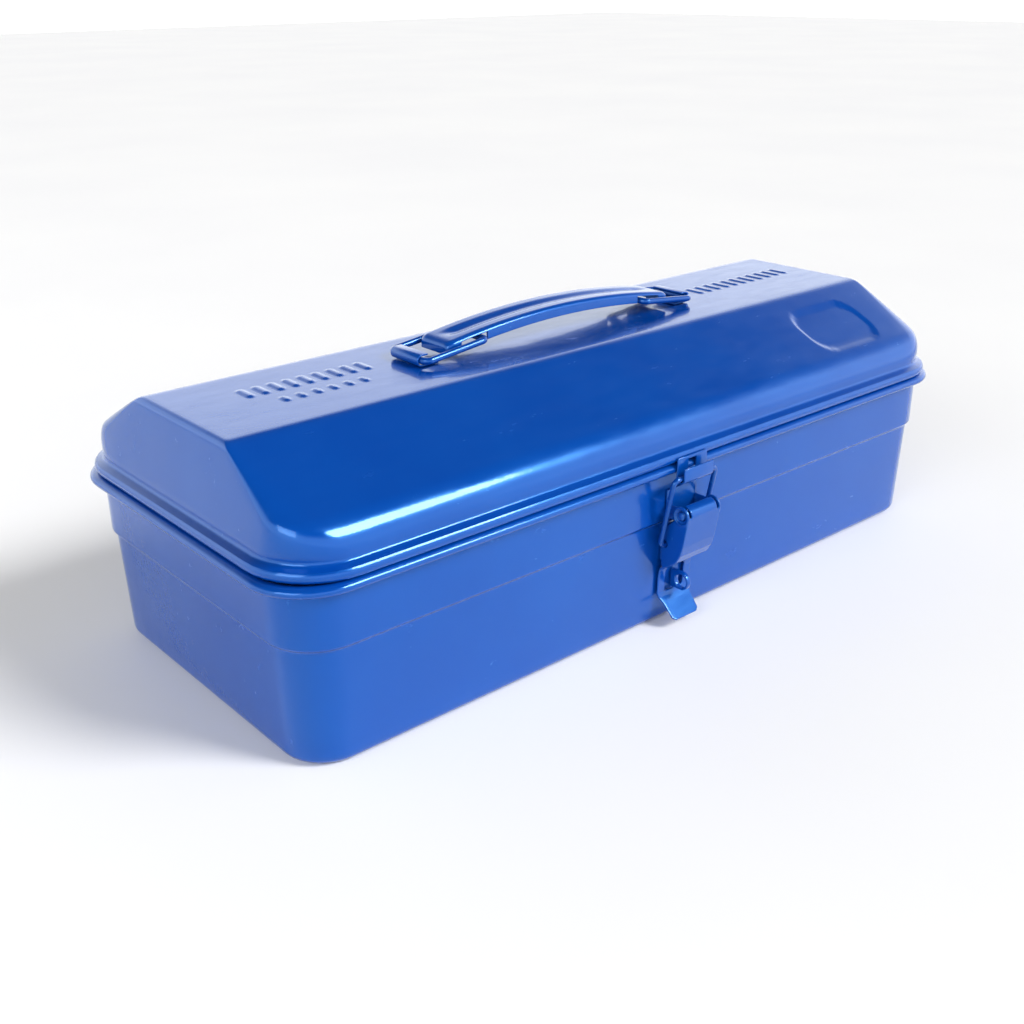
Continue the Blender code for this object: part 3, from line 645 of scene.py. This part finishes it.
def make_grip():
    stations = [(NOSE_START * k / 44, 0.0, 0.0) for k in range(-44, 45)]
    for k in range(1, 10):
        turn = math.pi / 2 * k / 9
        x = NOSE_START + (GRIP_HALF_X - NOSE_START) * math.sin(turn)
        inset = NOSE_INSET * (1 - math.cos(turn))
        fall = NOSE_FALL * (1 - math.cos(turn)) ** 1.3
        stations.append((x, inset, fall))
        stations.insert(0, (-x, inset, fall))
    outer, inner = [], []
    for x, inset, fall in stations:
        outer.append(grip_ring(x, x, inset, fall, grip_top(x) - GRIP_DEEP))
        short = x * (GRIP_HALF_X - GRIP_T) / GRIP_HALF_X
        inner.append(grip_ring(short, x, inset + GRIP_T, fall + GRIP_T,
                               grip_top(x) - GRIP_DEEP - 4))
    cuts = [loft("grip_hollow", inner, caps=True)]
    for sign in (-1, 1):
        xs = [NOTCH_IN + (NOTCH_OUT - NOTCH_IN) * k / 6 for k in range(7)]
        rings = [[(sign * x, -20, 100), (sign * x, 20, 100),
                  (sign * x, 20, grip_top(x) - NOTCH_LEFT),
                  (sign * x, -20, grip_top(x) - NOTCH_LEFT)] for x in xs]
        cuts.append(loft("grip_notch", rings, caps=True))
    return combine(loft("grip_skin", outer, caps=True), cuts)


def make_ring(side, sign):
    reach_x = RING_LONG * math.cos(RING_TILT)
    reach_z = RING_LONG * math.sin(RING_TILT)
    outer_x, inner_x = sign * RING_X, sign * (RING_X - reach_x)
    corners = [(outer_x, -RING_Y, RING_Z), (outer_x, RING_Y, RING_Z),
               (inner_x, RING_Y, RING_Z + reach_z), (inner_x, -RING_Y, RING_Z + reach_z)]
    points = rounded_path(corners, WIRE_BEND, cyclic=True)
    return wire(f"ring_{side}_wire", points, RING_R, cyclic=True)


def make_bracket(side, sign):
    fold_r = RING_R + 0.35 + BRACKET_T
    fold = arc((RING_X, RING_Z), fold_r, -90, 90, 24)
    path = [(RING_X - 8.0, RING_Z - fold_r)] + fold + [(RING_X - 3.0, RING_Z + fold_r)]
    rings = [[(sign * x, -BRACKET_HALF, z), (sign * x, BRACKET_HALF, z)] for x, z in path]
    bracket = loft(f"bracket_{side}_skin", rings, closed=False)
    return soften(thicken(bracket, BRACKET_T, -float(sign)), 0.22)


# ---------------------------------------------------------------- materials

def node(tree, kind, x, y, **settings):
    made = tree.nodes.new(kind)
    made.location = (x, y)
    for key, value in settings.items():
        setattr(made, key, value)
    return made


def noise(tree, source, x, y, scale, detail, roughness=0.5):
    made = node(tree, "ShaderNodeTexNoise", x, y)
    made.inputs["Scale"].default_value = scale
    made.inputs["Detail"].default_value = detail
    made.inputs["Roughness"].default_value = roughness
    tree.links.new(source, made.inputs["Vector"])
    return made.outputs["Fac"]


def ramp(tree, source, x, y, stops):
    made = node(tree, "ShaderNodeValToRGB", x, y)
    elements = made.color_ramp.elements
    elements[0].position, elements[0].color = stops[0]
    elements[1].position, elements[1].color = stops[-1]
    for position, colour in stops[1:-1]:
        elements.new(position).color = colour
    tree.links.new(source, made.inputs["Fac"])
    return made.outputs["Color"]


def grey(value):
    return (value, value, value, 1.0)


def enamel(name, blue, light, roughness, peel, wear):
    """Gloss enamel: uneven gloss, orange peel, faint dents, scuffs, thin colour on edges."""
    material = bpy.data.materials.new(name)
    material.use_nodes = True
    tree = material.node_tree
    shader = tree.nodes["Principled BSDF"]
    place = node(tree, "ShaderNodeTexCoord", -1500, 0).outputs["Object"]

    cloud = noise(tree, place, -1250, 350, 22.0, 4.0)
    tone = ramp(tree, cloud, -1000, 350, [(0.30, blue), (0.72, light)])
    round_edge = node(tree, "ShaderNodeBevel", -1250, -250, samples=6)
    round_edge.inputs["Radius"].default_value = 0.0003
    geometry = node(tree, "ShaderNodeNewGeometry", -1250, -450)
    alike = node(tree, "ShaderNodeVectorMath", -1000, -300, operation="DOT_PRODUCT")
    tree.links.new(round_edge.outputs["Normal"], alike.inputs[0])
    tree.links.new(geometry.outputs["Normal"], alike.inputs[1])
    edge = ramp(tree, alike.outputs["Value"], -780, -300, [(0.70, grey(wear)), (0.93, grey(0.0))])
    chips = noise(tree, place, -1250, 120, 260.0, 6.0, 0.7)
    chip_mask = ramp(tree, chips, -1000, 120, [(0.50, grey(0.0)), (0.66, grey(1.0))])
    worn = node(tree, "ShaderNodeMix", -560, -100, data_type="RGBA", blend_type="MULTIPLY")
    worn.inputs["Factor"].default_value = 1.0
    tree.links.new(edge, worn.inputs["A"])
    tree.links.new(chip_mask, worn.inputs["B"])
    paint = node(tree, "ShaderNodeMix", -320, 300, data_type="RGBA")
    paint.inputs["B"].default_value = (0.10, 0.23, 0.60, 1.0)
    tree.links.new(worn.outputs["Result"], paint.inputs["Factor"])
    tree.links.new(tone, paint.inputs["A"])
    tree.links.new(paint.outputs["Result"], shader.inputs["Base Color"])

    streaks = node(tree, "ShaderNodeMapping", -1250, -650)
    streaks.inputs["Scale"].default_value = (1.0, 3.5, 2.0)
    streaks.inputs["Rotation"].default_value = (0.2, 0.3, 0.5)
    tree.links.new(place, streaks.inputs["Vector"])
    rub = noise(tree, streaks.outputs["Vector"], -1000, -650, 55.0, 9.0, 0.65)
    low, high = roughness
    gloss = ramp(tree, rub, -780, -650, [(0.38, grey(low)), (0.62, grey((low + high) / 2)),
                                         (0.80, grey(high))])
    tree.links.new(gloss, shader.inputs["Roughness"])
    coat = ramp(tree, rub, -780, -900, [(0.45, grey(0.03)), (0.78, grey(0.09))])
    tree.links.new(coat, shader.inputs["Coat Roughness"])

    fine = noise(tree, place, -1000, -1150, 650.0, 2.0)
    waves = noise(tree, place, -1000, -1350, 34.0, 1.5)
    dent = node(tree, "ShaderNodeBump", -560, -1300)
    dent.inputs["Strength"].default_value = 0.30
    dent.inputs["Distance"].default_value = 0.0006
    tree.links.new(waves, dent.inputs["Height"])
    tree.links.new(round_edge.outputs["Normal"], dent.inputs["Normal"])
    skin = node(tree, "ShaderNodeBump", -320, -1150)
    skin.inputs["Strength"].default_value = peel
    skin.inputs["Distance"].default_value = 0.00012
    tree.links.new(fine, skin.inputs["Height"])
    tree.links.new(dent.outputs["Normal"], skin.inputs["Normal"])
    tree.links.new(skin.outputs["Normal"], shader.inputs["Normal"])
    tree.links.new(skin.outputs["Normal"], shader.inputs["Coat Normal"])
    shader.inputs["Metallic"].default_value = 0.12
    shader.inputs["Specular IOR Level"].default_value = 0.85
    shader.inputs["Specular Tint"].default_value = (0.15, 0.60, 1.0, 1.0)
    shader.inputs["Coat Weight"].default_value = 0.52
    shader.inputs["Coat IOR"].default_value = 1.42
    return material


def floor_paper():
    material = bpy.data.materials.new("pale_floor")
    material.use_nodes = True
    tree = material.node_tree
    shader = tree.nodes["Principled BSDF"]
    place = node(tree, "ShaderNodeTexCoord", -900, 0).outputs["Object"]
    cloud = noise(tree, place, -650, 0, 3.0, 3.0)
    tone = ramp(tree, cloud, -400, 0, [(0.3, (0.86, 0.86, 0.87, 1)), (0.7, (0.89, 0.89, 0.89, 1))])
    tree.links.new(tone, shader.inputs["Base Color"])
    shader.inputs["Roughness"].default_value = 0.65
    return material


# ---------------------------------------------------------------- stage

def area_light(name, place, target, size, power, tint=(1.0, 1.0, 1.0)):
    lamp = bpy.data.lights.new(name, "AREA")
    lamp.shape = "RECTANGLE"
    lamp.size, lamp.size_y = size
    lamp.energy = power
    lamp.color = tint
    obj = link(name, lamp)
    obj.location = place
    aim = Vector(target) - Vector(place)
    obj.rotation_euler = aim.to_track_quat("-Z", "Y").to_euler()
    return obj


def make_world():
    world = bpy.data.worlds.new("studio")
    bpy.context.scene.world = world
    world.use_nodes = True
    tree = world.node_tree
    back = tree.nodes["Background"]
    place = node(tree, "ShaderNodeTexCoord", -900, 0).outputs["Generated"]
    parts = node(tree, "ShaderNodeSeparateXYZ", -700, 0)
    tree.links.new(place, parts.inputs["Vector"])
    sky = ramp(tree, parts.outputs["Z"], -450, 0, [
        (0.0, grey(1.0)), (0.42, grey(0.90)), (0.54, grey(0.30)), (0.64, grey(0.03)),
        (1.0, grey(0.05))])
    tree.links.new(sky, back.inputs["Color"])
    back.inputs["Strength"].default_value = 1.7


def make_stage():
    floor = loft("floor", [[(-6000, -6000, 0), (6000, -6000, 0)],
                           [(-6000, 6000, 0), (6000, 6000, 0)]], closed=False)
    floor.data.materials.append(floor_paper())
    make_world()
    key = bpy.data.lights.new("key", "SUN")
    key.energy = 3.0
    key.angle = math.radians(22)
    lamp = link("key", key)
    lamp.rotation_euler = Vector((-0.44, 0.65, -0.60)).to_track_quat("-Z", "Y").to_euler()
    area_light("fill", (-1.5, -0.5, 0.9), (0, 0, 0.05), (1.0, 0.8), 10.0)


def make_camera():
    bpy.context.scene.view_settings.view_transform = "Standard"
    lens = bpy.data.cameras.new("camera")
    lens.lens = 43.429
    lens.sensor_width = 36.0
    camera = link("camera", lens)
    camera.location = (-0.35607, -0.38836, 0.25441)
    camera.rotation_euler = [math.radians(v) for v in (66.36996, 0.44370, -40.77923)]
    bpy.context.scene.camera = camera


# ---------------------------------------------------------------- build

BLUE = (0.0004, 0.052, 0.325, 1.0)
LIGHT = (0.0008, 0.062, 0.355, 1.0)
PAINT = enamel("gloss_enamel", BLUE, LIGHT, (0.16, 0.34), 0.16, 0.30)
WIRE = enamel("wire_enamel", (0.0006, 0.042, 0.28, 1.0), (0.0014, 0.055, 0.32, 1.0),
              (0.18, 0.38), 0.22, 0.3)
PIN = enamel("pin_enamel", (0.003, 0.055, 0.32, 1.0), (0.008, 0.075, 0.37, 1.0),
             (0.25, 0.50), 0.30, 0.8)
MATERIALS = {"enamel": PAINT, "wire": WIRE, "pin": PIN}


def dress(obj, body, slot, *nodes, smooth=34):
    """Give a finished piece its look, its body and the CAD nodes that it stands for."""
    mesh = obj.data
    mesh.materials.clear()
    mesh.materials.append(MATERIALS[slot])
    mesh.shade_smooth()
    mesh.set_sharp_from_angle(angle=math.radians(smooth))
    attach(obj, body)
    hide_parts(*nodes)


make_stage()
make_camera()
dress(make_body(), "body", "enamel", "body_shell")
dress(make_lid(), "lid", "enamel", "lid_shell")
dress(make_tray(), "tray", "enamel", "tray_pan")
dress(make_divider(), "tray", "enamel", "tray_divider")
for SIDE, SIGN in (("left", -1), ("right", 1)):
    X = SIGN * HINGE_X
    BODY_LEAF, LID_LEAF = f"hinge_leaf_body_{SIDE}", f"hinge_leaf_lid_{SIDE}"
    dress(make_hinge_leaf(f"{BODY_LEAF}_skin", X, False), "body", "enamel", BODY_LEAF)
    dress(make_hinge_leaf(f"{LID_LEAF}_skin", X, True), "lid", "enamel", LID_LEAF)
    PIN_SKIN = domed_pin(f"hinge_pin_{SIDE}_skin", PIN_R, HINGE_HALF + HINGE_PIN_PROUD,
                         HINGE_Y, HINGE_Z, X)
    dress(PIN_SKIN, "body", "pin", f"hinge_pin_{SIDE}")
    dress(make_ring(SIDE, SIGN), f"ring_{SIDE}", "wire", f"handle_ring_{SIDE}")
    dress(make_bracket(SIDE, SIGN), "lid", "enamel", f"handle_bracket_{SIDE}")
dress(make_latch_base(), "body", "enamel", "latch_base_plate")
dress(make_staple(), "body", "enamel", "padlock_staple")
dress(domed_pin("latch_pin_skin", LEVER_PIN_R, LEVER_HALF + 0.5, PIVOT_Y, PIVOT_Z, dome=0.9),
      "body", "pin", "latch_pivot_pin")
dress(make_lever(), "lever", "enamel", "latch_lever", smooth=60)
dress(make_bail(), "bail", "wire", "wire_bail_left", "wire_bail_right")
dress(make_keeper(), "lid", "enamel", "keeper_hook")
dress(make_grip(), "grip", "enamel", "handle_grip", smooth=40)
